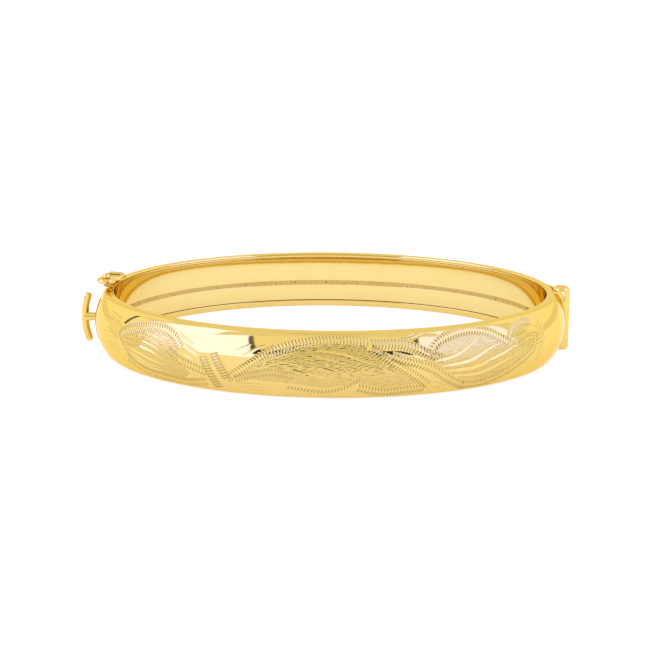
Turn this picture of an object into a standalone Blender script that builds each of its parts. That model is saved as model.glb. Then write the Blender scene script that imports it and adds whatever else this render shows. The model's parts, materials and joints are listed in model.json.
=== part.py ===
"""Oval hinged bangle bracelet: two hollow D-section halves, a knuckle hinge at +X, and at -X a
snap tongue with a T-shaped push-piece and a figure-eight safety catch over a ball stud.

The bangle stands on its lower rim. +Z is up, +X runs from clasp to hinge, the engraved half is at -Y.
Lengths below are millimetres; meshes are made in metres.
"""

import math

import bmesh
import bpy
from mathutils import Matrix, Vector

MM = 0.001

# Driving dimensions of the band
HALF_LENGTH = 31.0  # outer half axis towards clasp and hinge
HALF_WIDTH = 26.7  # outer half axis across
HEIGHT = 8.0
THICKNESS = 2.6  # from the crown of the dome to the inner face
DOME_RISE = 1.45
WALL = 0.45
UPPER_LIP = 0.6  # how far the rolled edge turns down the inner face
LOWER_LIP = 0.9
CORNER = 0.12
EDGE = 0.3  # softened edge between dome and rim
CLEARANCE = 0.05  # between pieces that lie against each other
HALF_SPLIT = 0.03  # each half stops this far from the split plane y = 0
BEYOND = 1.0  # how far a cutting shape reaches past what it cuts
STEPS = 40  # stretches along each half
DOME_STEPS = 8

# Inner lining and its seam
LINER_FACE = 2.5  # depth of the lining's visible face under the crown
LINER_WALL = 0.35
SEAM_LOW = 3.3
SEAM_HIGH = 3.85
SEAM_STRIP = 0.14
SEAM_COVER = 0.3  # how far the strip behind the seam reaches past it
LINER_START = 0.65  # distance of the lining's ends from the split plane

# Hinge
BARREL_RADIUS = 1.15
BARREL_LOW = 0.02
BARREL_HIGH = 8.42
BARREL_ROUND = 0.6  # rounding of the barrel's two outer ends
PIN_RADIUS = 0.42
PIN_TIP = 0.06
BORE_RADIUS = 0.48
HINGE_INSET = 0.4  # hinge axis lies this far inside the crown
NOTCH_RADIUS = 1.23
END_PLATE = 0.52
END_PLATE_BACK = 1.5  # the hinge end plates stop this far inside the hinge axis
LUG_FROM = 0.6  # each knuckle's lug lies between these distances inside the hinge axis
LUG_TO = 1.45
LUG_NEAR = 0.07  # and between these distances from the split plane
LUG_FAR = 0.5
LUG_INSET = 0.15  # from the knuckle's ends
LUG_LOW = 1.75
LUG_HIGH = 6.25

# Snap tongue, depths measured inwards from the crown of the clasp end
LEAF_WALL = 0.25
TONGUE_LENGTH = 5.0
TONGUE_ROOT = 1.3
TONGUE_DEPTH = 1.6
TONGUE_TIP_DEPTH = 2.0
SPRING_TIP_DEPTH = 0.95
SPRING_FOLD_DEPTH = 1.55
SPRING_START = 0.72  # distance of the catching edge from the split plane
CATCH_DEPTH = 1.3  # edge of the mouth that holds the spring leaf
MOUTH_BACK_DEPTH = 2.05
LEAF_LOW = 2.0
LEAF_HIGH = 6.0
FOLD_WALL = 0.2
TONGUE_CRANK = 0.6  # past the split plane the tongue starts to lean inwards
MOUTH_SLACK = 0.15

# Push-piece
POST_RADIUS = 0.58
POST_Z = 3.46
POST_Y = 1.3
POST_OUT = 1.27  # length outside the crown
POST_SLACK = 0.15
BAR_RADIUS = 0.49
BAR_LENGTH = 6.85
BAR_BOW = 0.5
BAR_TIP_SECTIONS = 3
BAR_TIP_QUARTER = 3.2  # sections that a full quarter turn would take, so that the tips end flat

# Safety catch
BALL_RADIUS = 0.53
BALL_X = -29.5
BALL_Y = -0.6
BALL_Z = HEIGHT + 1.25
SHANK_RADIUS = 0.28
STUD_FOOT_RADIUS = 0.46
STUD_FOOT_HEIGHT = 0.1
AXLE_X = -28.75
AXLE_Y = 2.9
AXLE_Z = HEIGHT + 0.8
WIRE_RADIUS = 0.32
RING_RADIUS = 1.0
LOOP_HALF_WIDTH = 1.2
LOOP_CORNER = 0.32
TUBE_RADIUS = 0.56
TUBE_BORE = 0.38
TUBE_LENGTH = 1.64
SADDLE_HALF_WIDTH = 0.3
SADDLE_INSET = 0.1  # from the tube's ends, and below its middle

GOLD = (1.0, 0.71, 0.23)
SEAM_GOLD = (0.72, 0.45, 0.12)

# Derived places
MIDDLE = HEIGHT / 2
DOME_RADIUS = (MIDDLE**2 + DOME_RISE**2) / (2 * DOME_RISE)
CLASP_REACH = HALF_LENGTH + POST_OUT + 2 * BAR_RADIUS
HINGE_REACH = HALF_LENGTH - HINGE_INSET + BARREL_RADIUS
RING_X = (CLASP_REACH - HINGE_REACH) / 2  # puts the origin under the middle of the whole bangle
HINGE_X = RING_X + HALF_LENGTH - HINGE_INSET
CLASP_X = RING_X - HALF_LENGTH
LINER_BACK = LINER_FACE - LINER_WALL


def clear_scene():
    for old in list(bpy.data.objects):
        bpy.data.objects.remove(old, do_unlink=True)


def gold(name, colour, roughness):
    material = bpy.data.materials.new(name)
    material.use_nodes = True
    shader = material.node_tree.nodes["Principled BSDF"]
    shader.inputs["Base Color"].default_value = (*colour, 1.0)
    shader.inputs["Metallic"].default_value = 1.0
    shader.inputs["Roughness"].default_value = roughness
    return material


def add_object(name, mesh_edit, origin=(0.0, 0.0, 0.0), colour=GOLD, roughness=0.12):
    """A named object from a bmesh in millimetres, with its origin at the given point."""
    bmesh.ops.remove_doubles(mesh_edit, verts=mesh_edit.verts, dist=1e-5)
    bmesh.ops.recalc_face_normals(mesh_edit, faces=mesh_edit.faces)
    place = Matrix.Translation(-Vector(origin))
    bmesh.ops.transform(mesh_edit, matrix=Matrix.Scale(MM, 4) @ place, verts=mesh_edit.verts)
    mesh = bpy.data.meshes.new(name)
    mesh_edit.to_mesh(mesh)
    mesh_edit.free()
    mesh.shade_smooth()
    mesh.set_sharp_from_angle(angle=math.radians(32))
    thing = bpy.data.objects.new(name, mesh)
    thing.location = Vector(origin) * MM
    mesh.materials.append(gold(name, colour, roughness))
    bpy.context.scene.collection.objects.link(thing)
    return thing


def cutter(name, mesh_edit):
    thing = add_object(name, mesh_edit)
    thing.hide_render = True
    thing.display_type = "WIRE"
    return thing


def combine(thing, other, operation):
    step = thing.modifiers.new(other.name, "BOOLEAN")
    step.operation = operation
    step.solver = "EXACT"
    step.object = other


def ring_point(angle, depth):
    """A point at this ellipse angle, the given depth inwards from the crown line."""
    across = Vector((math.cos(angle) / HALF_LENGTH, math.sin(angle) / HALF_WIDTH))
    across.normalize()
    crown = Vector((HALF_LENGTH * math.cos(angle), HALF_WIDTH * math.sin(angle)))
    return crown - across * depth + Vector((RING_X, 0.0))


def split_angle(distance):
    """The ellipse angle that lies this far from the split plane."""
    return math.asin(distance / HALF_WIDTH)


def half_span(side, hinge_gap, clasp_gap):
    """Start and end angles of a half's sweep; side is 1 for the back half and -1 for the front."""
    start = split_angle(hinge_gap)
    end = math.pi - split_angle(clasp_gap)
    return side * start, side * end


def dome_depth(height, wall=0.0):
    """Depth of the dome's surface, or of its inner wall, at a height."""
    return DOME_RADIUS - math.sqrt((DOME_RADIUS - wall) ** 2 - (height - MIDDLE) ** 2)


def dome_line(low, high, wall, count):
    heights = [low + (high - low) * i / count for i in range(count + 1)]
    return [(dome_depth(z, wall), z) for z in heights]


def sweep(profile, span):
    """A closed (depth, height) profile carried along the ellipse, capped at both ends."""
    made = bmesh.new()
    rows = []
    for i in range(STEPS + 1):
        angle = span[0] + (span[1] - span[0]) * i / STEPS
        row = []
        for depth, height in profile:
            x, y = ring_point(angle, depth)
            row.append(made.verts.new((x, y, height)))
        rows.append(row)
    count = len(profile)
    for near, far in zip(rows, rows[1:]):
        for j in range(count):
            k = (j + 1) % count
            made.faces.new((near[j], near[k], far[k], far[j]))
    made.faces.new(rows[0])
    made.faces.new(list(reversed(rows[-1])))
    return made


def shell_profile():
    """C-shaped section: domed outside, flat rims, and rolled lips on the inner face."""
    top = HEIGHT
    inner = THICKNESS
    lip_back = THICKNESS - WALL
    rim_edge = dome_depth(top) + EDGE
    outside = dome_line(EDGE, top - EDGE, 0.0, DOME_STEPS)
    upper = [(rim_edge, top), (inner - CORNER, top), (inner, top - CORNER), (inner, top - UPPER_LIP)]
    upper += [(lip_back, top - UPPER_LIP), (lip_back, top - WALL)]
    inside = dome_line(top - WALL, WALL, WALL, DOME_STEPS - 2)
    lower = [(lip_back, WALL), (lip_back, LOWER_LIP), (inner, LOWER_LIP)]
    lower += [(inner, CORNER), (inner - CORNER, 0.0), (rim_edge, 0.0)]
    return outside + upper + inside + lower


def block(low, high):
    """An axis-aligned block between two corners."""
    made = bmesh.new()
    bmesh.ops.create_cube(made, size=1.0)
    size = Vector(high) - Vector(low)
    centre = (Vector(high) + Vector(low)) / 2
    bmesh.ops.transform(
        made, matrix=Matrix.Translation(centre) @ Matrix.Diagonal((*size, 1.0)), verts=made.verts
    )
    return made


def turned(profile, sides, place):
    """A solid turned about local Z from (radius, height) points, bottom to top, then placed."""
    made = bmesh.new()
    rings = []
    for radius, height in profile:
        if radius < 1e-6:
            rings.append([made.verts.new((0.0, 0.0, height))])
            continue
        angles = [2 * math.pi * k / sides for k in range(sides)]
        rings.append([made.verts.new((radius * math.cos(a), radius * math.sin(a), height)) for a in angles])
    for low, high in zip(rings, rings[1:]):
        for k in range(sides):
            n = (k + 1) % sides
            corners = [low[k % len(low)], low[n % len(low)], high[n % len(high)], high[k % len(high)]]
            made.faces.new(list(dict.fromkeys(corners)))
    for ring in (rings[0], rings[-1]):
        if len(ring) > 1:
            made.faces.new(ring)
    bmesh.ops.transform(made, matrix=place, verts=made.verts)
    return made


def cylinder(radius, length, sides, place):
    return turned([(radius, -length / 2), (radius, length / 2)], sides, place)


def plate(outline, thickness, y_low):
    """An (x, z) outline given thickness along Y."""
    made = bmesh.new()
    near = [made.verts.new((x, y_low, z)) for x, z in outline]
    far = [made.verts.new((x, y_low + thickness, z)) for x, z in outline]
    made.faces.new(near)
    made.faces.new(list(reversed(far)))
    count = len(outline)
    for j in range(count):
        k = (j + 1) % count
        made.faces.new((near[j], near[k], far[k], far[j]))
    return made


def bent_strip(outline, low, high):
    """An (x, y) outline given height along Z."""
    made = bmesh.new()
    base = [made.verts.new((x, y, low)) for x, y in outline]
    top = [made.verts.new((x, y, high)) for x, y in outline]
    made.faces.new(base)
    made.faces.new(list(reversed(top)))
    count = len(outline)
    for j in range(count):
        k = (j + 1) % count
        made.faces.new((base[j], base[k], top[k], top[j]))
    return made


def closed_wire(path, radius, sides, place):
    """A round wire along a closed flat path in local XY."""
    made = bmesh.new()
    count = len(path)
    rings = []
    for i, point in enumerate(path):
        along = (path[(i + 1) % count] - path[i - 1]).normalized()
        across = Vector((along.y, -along.x))
        ring = []
        for k in range(sides):
            turn = 2 * math.pi * k / sides
            flat = point + across * radius * math.cos(turn)
            ring.append(made.verts.new((flat.x, flat.y, radius * math.sin(turn))))
        rings.append(ring)
    for i in range(count):
        near, far = rings[i], rings[(i + 1) % count]
        for k in range(sides):
            n = (k + 1) % sides
            made.faces.new((near[k], near[n], far[n], far[k]))
    bmesh.ops.transform(made, matrix=place, verts=made.verts)
    return made


def make_band_half(prefix, side):
    """Shell, two lining strips and the solder strip behind their seam."""
    shell = add_object(
        f"{prefix}_shell", sweep(shell_profile(), half_span(side, HALF_SPLIT, HALF_SPLIT)), roughness=0.08
    )
    span = half_span(side, LINER_START, LINER_START)
    strips = {
        "liner_upper": (LINER_BACK, LINER_FACE, SEAM_HIGH, HEIGHT - UPPER_LIP - CLEARANCE),
        "liner_lower": (LINER_BACK, LINER_FACE, LOWER_LIP + CLEARANCE, SEAM_LOW),
        "seam_strip": (
            LINER_BACK - CLEARANCE - SEAM_STRIP,
            LINER_BACK - CLEARANCE,
            SEAM_LOW - SEAM_COVER,
            SEAM_HIGH + SEAM_COVER,
        ),
    }
    for name, (back, face, low, high) in strips.items():
        profile = [(back, low), (back, high), (face, high), (face, low)]
        colour = SEAM_GOLD if name == "seam_strip" else GOLD
        add_object(f"{prefix}_{name}", sweep(profile, span), colour=colour, roughness=0.2)
    return shell


def end_plate_outline(inner_depth):
    """Closing plate of a band end: follows the inside of the dome and stops at the inner face."""
    low, high = LOWER_LIP + CLEARANCE, HEIGHT - UPPER_LIP - CLEARANCE
    line = dome_line(low, high, WALL + CLEARANCE, 10)
    line += [(inner_depth, high), (inner_depth, low)]
    return [(CLASP_X + depth, height) for depth, height in line]


def make_clasp_mouth():
    """Back half's end plate with the opening that takes the tongue, and its notch for the post."""
    mouth = add_object("back_clasp_mouth", plate(end_plate_outline(LINER_FACE), END_PLATE, CLEARANCE))
    opening = block(
        (CLASP_X + CATCH_DEPTH, -BEYOND, LEAF_LOW - MOUTH_SLACK),
        (CLASP_X + MOUTH_BACK_DEPTH, BEYOND, LEAF_HIGH + MOUTH_SLACK),
    )
    combine(mouth, cutter("mouth_opening", opening), "DIFFERENCE")
    combine(mouth, cutter("mouth_post_notch", post_notch(-BEYOND)), "DIFFERENCE")


def post_notch(y_low):
    """Room for the post, from outside the crown in to the tongue, open at the split plane."""
    room = POST_RADIUS + POST_SLACK
    inner = CLASP_X + CATCH_DEPTH + 2 * CLEARANCE
    return block(
        (CLASP_X - BEYOND, y_low, POST_Z - room), (inner, POST_Y + room + CLEARANCE, POST_Z + room)
    )


def make_front_clasp_end():
    """Front half's end plate, slotted for the tongue's root."""
    closing = plate(end_plate_outline(LINER_FACE), END_PLATE, -CLEARANCE - END_PLATE)
    end = add_object("front_clasp_end", closing)
    slot = block(
        (CLASP_X + TONGUE_DEPTH - CLEARANCE, -BEYOND, LEAF_LOW - CLEARANCE),
        (CLASP_X + TONGUE_DEPTH + LEAF_WALL + CLEARANCE, BEYOND, LEAF_HIGH + CLEARANCE),
    )
    combine(end, cutter("tongue_slot", slot), "DIFFERENCE")


def make_tongue():
    """Fixed leaf of the snap tongue, with the fold that carries the spring leaf."""
    near, tip = CLASP_X + TONGUE_DEPTH, CLASP_X + TONGUE_TIP_DEPTH
    fold_out = CLASP_X + SPRING_FOLD_DEPTH
    radius = (tip + LEAF_WALL - fold_out) / 2
    centre = fold_out + radius
    bend = [math.pi * k / 8 for k in range(9)]
    outer = [(centre + radius * math.cos(a), TONGUE_LENGTH + radius * math.sin(a)) for a in bend]
    thin = radius - FOLD_WALL
    inner = [(centre + thin * math.cos(a), TONGUE_LENGTH + thin * math.sin(a)) for a in reversed(bend)]
    outline = [(near + LEAF_WALL, -TONGUE_ROOT), (near + LEAF_WALL, TONGUE_CRANK)]
    outline += outer + inner + [(near, TONGUE_CRANK), (near, -TONGUE_ROOT)]
    add_object("tongue_base", bent_strip(outline, LEAF_LOW, LEAF_HIGH), roughness=0.2)


def fold_axis():
    """Where the spring leaf flexes: the fold at the tongue's tip."""
    return CLASP_X + SPRING_FOLD_DEPTH + LEAF_WALL / 2, TONGUE_LENGTH


def make_push_piece():
    """Spring leaf, round post and the bowed bar that is pressed."""
    axis_x, axis_y = fold_axis()
    origin = (axis_x, axis_y, MIDDLE)
    near, far = CLASP_X + SPRING_TIP_DEPTH, CLASP_X + SPRING_FOLD_DEPTH
    stop = TONGUE_LENGTH - CLEARANCE
    outline = [(near, SPRING_START), (near + LEAF_WALL, SPRING_START)]
    outline += [(far + LEAF_WALL - CLEARANCE, stop), (far, stop)]
    add_object("spring_leaf", bent_strip(outline, LEAF_LOW, LEAF_HIGH), origin, roughness=0.2)

    post_in = CLASP_X + SPRING_TIP_DEPTH - CLEARANCE
    post_out = CLASP_X - POST_OUT + CLEARANCE
    sideways = Matrix.Rotation(math.pi / 2, 4, "Y")
    place = Matrix.Translation(((post_in + post_out) / 2, POST_Y, POST_Z)) @ sideways
    add_object("push_post", cylinder(POST_RADIUS, post_in - post_out, 16, place), origin)
    add_object("push_bar", bowed_bar(), origin, roughness=0.08)


def bowed_bar():
    """Upright round bar bowed away from the band, with rounded ends."""
    sides, steps = 12, 16
    reach = BAR_LENGTH / 2 - BAR_RADIUS
    bow_radius = (reach**2 + BAR_BOW**2) / (2 * BAR_BOW)
    crown_x = CLASP_X - POST_OUT - BAR_RADIUS
    span = math.asin(reach / bow_radius)
    sections = []
    for i in range(steps + 1):
        sections.append((-span + 2 * span * i / steps, 0.0, BAR_RADIUS))
    for part in range(1, BAR_TIP_SECTIONS + 1):
        tilt = math.pi / 2 * part / BAR_TIP_QUARTER
        end = (span, BAR_RADIUS * math.sin(tilt), BAR_RADIUS * math.cos(tilt))
        sections.append(end)
        sections.insert(0, (-span, -end[1], end[2]))
    made = bmesh.new()
    rings = []
    for angle, past, radius in sections:
        along = Vector((math.sin(angle), 0.0, math.cos(angle)))
        outwards = Vector((-math.cos(angle), 0.0, math.sin(angle)))
        centre = Vector((crown_x + bow_radius, POST_Y, POST_Z)) + outwards * bow_radius + along * past
        ring = []
        for k in range(sides):
            turn = 2 * math.pi * k / sides
            spot = centre + (outwards * math.cos(turn) + Vector((0.0, math.sin(turn), 0.0))) * radius
            ring.append(made.verts.new(spot))
        rings.append(ring)
    for low, high in zip(rings, rings[1:]):
        for k in range(sides):
            n = (k + 1) % sides
            made.faces.new((low[k], low[n], high[n], high[k]))
    made.faces.new(rings[0])
    made.faces.new(rings[-1])
    return made


def knuckle_profile(index, length):
    """Outline of a knuckle about its middle; the bottom and top ones are rounded at the barrel's ends."""
    half = length / 2
    profile = [(BARREL_RADIUS, -half), (BARREL_RADIUS, half)]
    turns = [math.pi / 2 * k / 5 for k in range(6)]
    flat, start = BARREL_RADIUS - BARREL_ROUND, half - BARREL_ROUND
    top = [(flat + BARREL_ROUND * math.cos(a), start + BARREL_ROUND * math.sin(a)) for a in turns]
    if index == 0:
        profile = [(radius, -height) for radius, height in reversed(top)] + profile[1:]
    if index == 2:
        profile = profile[:1] + top
    return profile


def make_hinge(back_shell, front_shell):
    """Three knuckles on one pin, the notch they sit in, and the end plates behind them."""
    notch = cylinder(NOTCH_RADIUS, HEIGHT + 2 * BEYOND, 32, Matrix.Translation((HINGE_X, 0.0, MIDDLE)))
    room = cutter("hinge_notch", notch)
    for shell in (back_shell, front_shell):
        combine(shell, room, "DIFFERENCE")

    third = (BARREL_HIGH - BARREL_LOW - 2 * CLEARANCE) / 3
    for index, name in enumerate(("hinge_knuckle_bottom", "hinge_knuckle_middle", "hinge_knuckle_top")):
        low = BARREL_LOW + index * (third + CLEARANCE)
        side = -1 if name.endswith("middle") else 1
        centre = low + third / 2
        place = Matrix.Translation((HINGE_X, 0.0, centre))
        knuckle = add_object(name, turned(knuckle_profile(index, third), 28, place))
        lug_low, lug_high = max(low + LUG_INSET, LUG_LOW), min(low + third - LUG_INSET, LUG_HIGH)
        near, far = sorted((side * LUG_NEAR, side * LUG_FAR))
        lug = block((HINGE_X - LUG_TO, near, lug_low), (HINGE_X - LUG_FROM, far, lug_high))
        combine(knuckle, cutter(f"{name}_lug", lug), "UNION")
        bore = cylinder(BORE_RADIUS, third + BEYOND, 20, place)
        combine(knuckle, cutter(f"{name}_bore", bore), "DIFFERENCE")

    low, high = BARREL_LOW + CLEARANCE, BARREL_HIGH - CLEARANCE
    flat = PIN_RADIUS - PIN_TIP
    pin = [(0.0, low), (flat, low), (PIN_RADIUS, low + PIN_TIP), (PIN_RADIUS, high - PIN_TIP)]
    pin += [(flat, high), (0.0, high + PIN_TIP)]
    axis = (HINGE_X, 0.0, 0.0)
    add_object("hinge_pin", turned(pin, 20, Matrix.Translation(axis)), axis)

    for name, side in (("back_hinge_end", 1), ("front_hinge_end", -1)):
        near, far = sorted((side * CLEARANCE, side * (CLEARANCE + END_PLATE)))
        low = (RING_X + HALF_LENGTH - LINER_FACE, near, LOWER_LIP + CLEARANCE)
        high = (HINGE_X - END_PLATE_BACK, far, HEIGHT - UPPER_LIP - CLEARANCE)
        add_object(name, block(low, high))


def safety_frame():
    """Local frame of the figure-eight: X along its axle, Y from the ball towards the axle."""
    heading = Vector((AXLE_X - BALL_X, AXLE_Y - BALL_Y))
    turn = math.atan2(heading.y, heading.x) - math.pi / 2
    place = Matrix.Translation((RING_X + AXLE_X, AXLE_Y, AXLE_Z)) @ Matrix.Rotation(turn, 4, "Z")
    return place, heading.length


def make_safety_catch():
    """Ball stud on the front half; hinge tube and figure-eight wire on the back half."""
    low = HEIGHT + CLEARANCE
    foot = low + STUD_FOOT_HEIGHT
    stud = [(0.0, low), (STUD_FOOT_RADIUS, low), (STUD_FOOT_RADIUS, foot)]
    stud.append((SHANK_RADIUS, foot + STUD_FOOT_HEIGHT))
    first = math.asin(SHANK_RADIUS / BALL_RADIUS)
    for k in range(9):
        polar = first + (math.pi - first) * k / 8
        stud.append((BALL_RADIUS * math.sin(polar), BALL_Z - BALL_RADIUS * math.cos(polar)))
    stud[-1] = (0.0, BALL_Z + BALL_RADIUS)
    place = Matrix.Translation((RING_X + BALL_X, BALL_Y, 0.0))
    add_object("safety_ball", turned(stud, 18, place), roughness=0.05)

    frame, reach = safety_frame()
    sideways = Matrix.Rotation(math.pi / 2, 4, "Y")
    tube = add_object("safety_tube", cylinder(TUBE_RADIUS, TUBE_LENGTH, 20, frame @ sideways))
    half = TUBE_LENGTH / 2 - SADDLE_INSET
    saddle = block(
        (-half, -SADDLE_HALF_WIDTH, HEIGHT + CLEARANCE - AXLE_Z), (half, SADDLE_HALF_WIDTH, -SADDLE_INSET)
    )
    bmesh.ops.transform(saddle, matrix=frame, verts=saddle.verts)
    combine(tube, cutter("tube_saddle", saddle), "UNION")
    bore = cylinder(TUBE_BORE, TUBE_LENGTH + BEYOND, 16, frame @ sideways)
    combine(tube, cutter("tube_bore", bore), "DIFFERENCE")

    ring_path = [
        Vector((RING_RADIUS * math.sin(a), -reach + RING_RADIUS * math.cos(a)))
        for a in (2 * math.pi * k / 24 for k in range(24))
    ]
    origin = (RING_X + AXLE_X, AXLE_Y, AXLE_Z)
    eight = add_object("safety_eight", closed_wire(ring_path, WIRE_RADIUS, 10, frame), origin)
    loop = closed_wire(loop_path(reach - RING_RADIUS), WIRE_RADIUS, 10, frame)
    combine(eight, cutter("eight_loop", loop), "UNION")


def loop_path(length):
    """Rear loop of the figure-eight: a straight axle, two sides and a round end towards the ring."""
    wide = LOOP_HALF_WIDTH
    corner = LOOP_CORNER
    path = []
    for k in range(4):
        a = math.pi / 2 * k / 3
        path.append(Vector((wide - corner + corner * math.sin(a), -corner + corner * math.cos(a))))
    for k in range(13):
        a = math.pi * k / 12
        path.append(Vector((wide * math.cos(a), wide - length - wide * math.sin(a))))
    for k in range(4):
        a = math.pi / 2 * k / 3
        path.append(Vector((corner - wide - corner * math.cos(a), -corner + corner * math.sin(a))))
    return path


def main():
    clear_scene()
    back_shell = make_band_half("back", 1)
    front_shell = make_band_half("front", -1)
    combine(back_shell, cutter("shell_post_notch", post_notch(-0.5)), "DIFFERENCE")
    make_hinge(back_shell, front_shell)
    make_clasp_mouth()
    make_front_clasp_end()
    make_tongue()
    make_push_piece()
    make_safety_catch()


main()
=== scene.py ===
"""Looks of the hinged oval bangle: polished hollow halves, a leaf-engraved front, clasp and catch.

Lengths in the building functions are millimetres; meshes are made in metres.
"""

import json
import math

import bmesh
import bpy
import numpy as np
from mathutils import Matrix, Vector


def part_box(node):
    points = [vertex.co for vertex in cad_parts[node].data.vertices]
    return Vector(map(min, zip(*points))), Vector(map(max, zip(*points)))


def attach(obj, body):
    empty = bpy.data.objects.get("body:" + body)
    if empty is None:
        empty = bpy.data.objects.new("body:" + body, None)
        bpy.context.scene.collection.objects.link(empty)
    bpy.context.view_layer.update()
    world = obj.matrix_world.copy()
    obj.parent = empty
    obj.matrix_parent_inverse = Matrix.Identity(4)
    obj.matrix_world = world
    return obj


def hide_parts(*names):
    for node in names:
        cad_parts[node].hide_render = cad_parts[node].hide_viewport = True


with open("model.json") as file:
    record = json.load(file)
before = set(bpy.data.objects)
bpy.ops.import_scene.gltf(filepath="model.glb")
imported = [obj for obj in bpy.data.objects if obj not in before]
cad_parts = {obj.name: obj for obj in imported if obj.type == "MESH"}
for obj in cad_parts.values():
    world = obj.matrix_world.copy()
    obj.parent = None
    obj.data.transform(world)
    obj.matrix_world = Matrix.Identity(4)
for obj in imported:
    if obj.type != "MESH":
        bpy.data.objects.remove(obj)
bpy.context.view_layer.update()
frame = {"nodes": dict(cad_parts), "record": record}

MM = 0.001
JOINTS = {joint["name"]: joint for joint in frame["record"]["behaviour"]["joints"]}


def node_box(name):
    """Low and high corner of one of the frame's parts, in millimetres."""
    low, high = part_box(name)
    return low / MM, high / MM


# Driving dimensions, from the frame
SHELL_LOW, SHELL_HIGH = node_box("front_shell")
HINGE_X = JOINTS["bangle_hinge"]["pos_m"][0] / MM
HINGE_INSET = 0.4  # hinge axis lies this far inside the crown
CLASP_X = SHELL_LOW.x
HALF_LENGTH = (HINGE_X + HINGE_INSET - CLASP_X) / 2
HALF_WIDTH = -SHELL_LOW.y
HEIGHT = SHELL_HIGH.z
RING_X = CLASP_X + HALF_LENGTH
MIDDLE = HEIGHT / 2

# Section of the band
DOME_RISE = 1.45
DOME_RADIUS = (MIDDLE**2 + DOME_RISE**2) / (2 * DOME_RISE)
THICKNESS = 2.6
WALL = 0.45
UPPER_LIP = 0.6
LOWER_LIP = 0.9
LIP_ROUND = 0.12
RIM_ROUND = 0.3
EDGE_ROUND = 0.55
EDGE_HEIGHT = 0.38  # height over which the dome turns into the rim
HALF_SPLIT = 0.03
NOTCH_RADIUS = 1.23
END_BLEND = 3.0  # stretch of each half over which the columns follow the shape of its end

# Lining
LINER_FACE = 2.5
LINER_WALL = 0.35
SEAM_LOW = 3.3
SEAM_HIGH = 3.85
SEAM_LAP = 0.2  # the seam strip reaches this far behind each lining
SEAM_SUNK = 0.04
SEAM_STEPS = 900
LINER_START = 0.65
LINER_ROUND = 0.08
LINER_STEPS = 220
CLEARANCE = 0.05

# Columns and rows of the shells' surfaces
FINE_STEP = 0.066
COARSE_STEP = 0.225
ENGRAVED_FROM = -39.8
ENGRAVED_TO = 34.0
DOME_LENGTH = 8.6  # across the dome, from rim to rim
INNER_ROWS = 16
INNER_MARGIN = 0.3
INNER_COLUMNS = 120
BACK_COLUMNS = 320
BACK_ROWS = 14  # above the post's slot, and below it
SLOT_ROWS = 17
SLOT_EDGE = 0.001  # rows this near each edge of the post's slot keep the edge crisp

# Arc length along the crown from the middle of the front, for each ellipse angle
ANGLES = np.linspace(-math.pi, math.pi, 16001)
STRIDES = np.hypot(
    np.diff(HALF_LENGTH * np.cos(ANGLES)), np.diff(HALF_WIDTH * np.sin(ANGLES))
)
ARCS = np.concatenate(([0.0], np.cumsum(STRIDES)))
ARCS -= np.interp(-math.pi / 2, ANGLES, ARCS)
CLASP_ARC = ARCS[0]
HINGE_ARC = float(np.interp(0.0, ANGLES, ARCS))
BACK_CLASP_ARC = ARCS[-1]


def ring_xy(arc, depth):
    """Points this far along the crown, the given depth inwards from it."""
    angle = np.interp(arc, ARCS, ANGLES)
    across_x = np.cos(angle) / HALF_LENGTH
    across_y = np.sin(angle) / HALF_WIDTH
    size = np.hypot(across_x, across_y)
    x = HALF_LENGTH * np.cos(angle) - depth * across_x / size + RING_X
    y = HALF_WIDTH * np.sin(angle) - depth * across_y / size
    return x, y


def gap_arc(depth, distance):
    """Arc length from an end of the ring at which this depth lies the given distance from the split."""
    turn = np.arcsin(distance / (HALF_WIDTH - depth * HALF_LENGTH / HALF_WIDTH))
    return np.interp(turn, ANGLES, ARCS) - HINGE_ARC


def dome_depth(height, wall=0.0):
    """How far the dome, or the face this far inside it, lies in from the crown at a height."""
    return DOME_RADIUS - np.sqrt((DOME_RADIUS - wall) ** 2 - (height - MIDDLE) ** 2)


def bend(before, corner, after, count=5):
    """A soft corner between two points."""
    t = np.linspace(0.0, 1.0, count + 1)[:, None]
    before, corner, after = np.array(before), np.array(corner), np.array(after)
    return (1 - t) ** 2 * before + 2 * t * (1 - t) * corner + t**2 * after


def outer_line(heights):
    """Section of a shell's outside, from the end of the lower lip round to that of the upper one."""
    back = THICKNESS - WALL
    edge = dome_depth(0.0)
    lip = THICKNESS - LIP_ROUND
    low = [(back, LOWER_LIP)]
    low += list(bend((lip, LOWER_LIP), (THICKNESS, LOWER_LIP), (THICKNESS, LOWER_LIP - LIP_ROUND)))
    low += list(bend((THICKNESS, RIM_ROUND), (THICKNESS, 0.0), (THICKNESS - RIM_ROUND, 0.0)))
    low += list(bend((edge + EDGE_ROUND, 0.0), (edge, 0.0), (dome_depth(heights[0]), heights[0])))[:-1]
    top = HEIGHT
    end = top - UPPER_LIP
    high = list(bend((dome_depth(heights[-1]), heights[-1]), (edge, top), (edge + EDGE_ROUND, top)))[1:]
    high += list(bend((THICKNESS - RIM_ROUND, top), (THICKNESS, top), (THICKNESS, top - RIM_ROUND)))
    high += list(bend((THICKNESS, end + LIP_ROUND), (THICKNESS, end), (lip, end)))
    high += [(back, end)]
    dome = [(dome_depth(z), z) for z in heights]
    return np.array(low + dome + high), len(low)


def inner_line(heights):
    """Section of a shell's inside, between the same two lips."""
    back = THICKNESS - WALL
    low = [(back, LOWER_LIP - 0.02), (back, WALL + 0.2), (back - 0.2, WALL)]
    high = [(back - 0.2, HEIGHT - WALL), (back, HEIGHT - WALL - 0.2), (back, HEIGHT - UPPER_LIP + 0.02)]
    inside = heights[(heights > WALL + 0.1) & (heights < HEIGHT - WALL - 0.1)]
    line = [(dome_depth(z, WALL), z) for z in inside]
    return np.array(low + line + high)


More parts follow.
